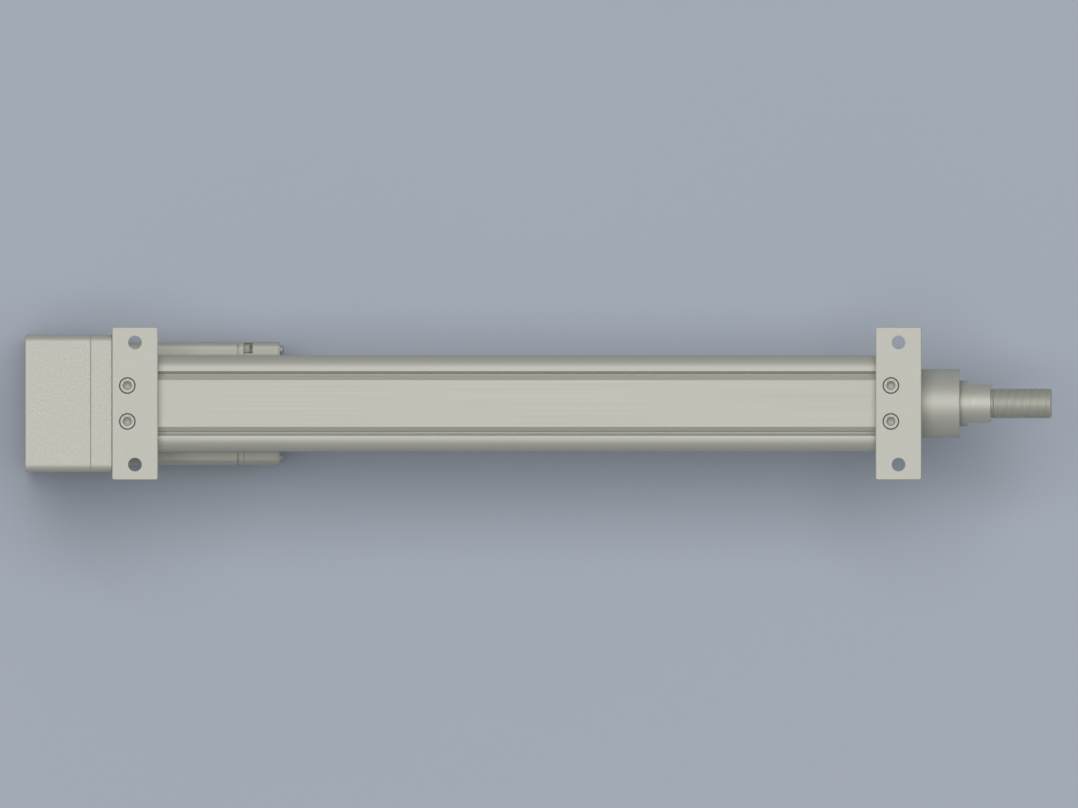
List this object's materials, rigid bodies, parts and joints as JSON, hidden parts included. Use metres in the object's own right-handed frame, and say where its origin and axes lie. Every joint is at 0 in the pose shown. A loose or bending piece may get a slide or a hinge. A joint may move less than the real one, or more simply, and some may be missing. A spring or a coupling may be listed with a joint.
{
  "type": "parallel motor electric cylinder",
  "caption": "Rod-type electric cylinder: a ball screw in a square tube pushes a threaded rod, belt-driven by a servo motor parallel to the tube; foot plates.",
  "frame": {"origin": "on the rod axis, at the front face of the front cap, where the nose starts", "axes": "+X along the rod axis, out of the rod end; +Z out of the mounting faces of the two foot plates, away from the motor; +Y across the plates"},
  "size_m": [0.6725, 0.1, 0.1808],
  "materials": {
    "tube_aluminium": "natural anodised extrusion, satin, fine die lines along X",
    "cap_aluminium": "machined and natural anodised, satin",
    "belt_housing": "light warm grey coat, satin",
    "motor_shell": "light warm grey coat, satin",
    "encoder_shell": "light warm grey moulding, matt",
    "steel_screws": "zinc plated, satin",
    "rod_steel": "hard chromed and ground",
    "rod_end_steel": "turned steel",
    "ground_steel": "hardened and ground",
    "bearing_steel": "polished",
    "bronze": "turned bronze",
    "seal_rubber": "black nitrile",
    "belt_rubber": "black neoprene",
    "bumper_urethane": "amber polyurethane",
    "guide_polymer": "off-white sliding polymer",
    "magnet": "bonded ferrite",
    "lamination_steel": "stacked laminations",
    "copper": "enamelled wire",
    "circuit_board": "green solder mask",
    "connector_metal": "satin plated"
  },
  "bodies": {
    "housing": {"barrel": "tube_aluminium", "front_cap": "cap_aluminium", "rear_cap": "cap_aluminium", "front_cap_screws": "steel_screws", "rear_cap_screws": "steel_screws", "front_foot_plate": "cap_aluminium", "rear_foot_plate": "cap_aluminium", "front_foot_screws": "steel_screws", "rear_foot_screws": "steel_screws", "nose_cartridge": "cap_aluminium", "rod_bush": "bronze", "rod_seal": "seal_rubber", "rod_wiper": "seal_rubber", "front_bumper": "bumper_urethane", "rear_bumper": "bumper_urethane", "screw_bearing_outer_rings": "bearing_steel", "drive_housing": "belt_housing", "drive_housing_screws": "steel_screws", "drive_cover": "belt_housing", "cover_gasket": "seal_rubber", "cover_screws": "steel_screws", "timing_belt": "belt_rubber", "motor_mount_screws": "steel_screws", "motor_flange": "motor_shell", "motor_shaft_seal": "seal_rubber", "motor_housing": "motor_shell", "stator_core": "lamination_steel", "stator_windings": "copper", "motor_rear_bell": "motor_shell", "motor_tie_screws": "steel_screws", "motor_bearing_outer_rings": "bearing_steel", "encoder_board": "circuit_board", "encoder_case": "encoder_shell", "encoder_case_screws": "steel_screws", "encoder_lid": "encoder_shell", "encoder_lid_screws": "steel_screws", "power_connector": "connector_metal", "encoder_connector": "connector_metal"},
    "rod": {"nut_carrier": "cap_aluminium", "guide_rings": "guide_polymer", "magnet_ring": "magnet", "anti_rotation_keys": "guide_polymer", "ball_nut": "ground_steel", "nut_lock_ring": "ground_steel", "piston_rod": "rod_steel", "rod_end": "rod_end_steel"},
    "screw": {"ball_screw": "ground_steel", "screw_tip_bush": "guide_polymer", "screw_bearing_inner_rings": "bearing_steel", "screw_lock_nut": "ground_steel", "screw_pulley": "ground_steel", "screw_key": "ground_steel", "screw_pulley_bolt": "steel_screws"},
    "rotor": {"motor_shaft": "ground_steel", "rotor_core": "lamination_steel", "motor_bearing_inner_rings": "bearing_steel", "motor_pulley": "ground_steel", "motor_key": "ground_steel", "motor_pulley_bolt": "steel_screws", "encoder_disc": "circuit_board"}
  },
  "joints": [
    {"name": "motor_spin", "type": "hinge", "parent": "housing", "child": "rotor", "pos_m": [-0.5, 0, -0.08], "axis": [-1, 0, 0], "range_deg": [0, 10800], "deforming": ["timing_belt"]},
    {"name": "screw_spin", "type": "hinge", "parent": "housing", "child": "screw", "pos_m": [-0.5, 0, 0], "axis": [-1, 0, 0], "range_deg": [0, 10800]},
    {"name": "rod_slide", "type": "slide", "parent": "housing", "child": "rod", "axis": [1, 0, 0], "range_m": [0, 0.3]}
  ],
  "couplings": [
    {"joint": "screw_spin", "follows": "rod_slide", "rad_per_m": 628.32},
    {"joint": "motor_spin", "follows": "rod_slide", "rad_per_m": 628.32}
  ]
}
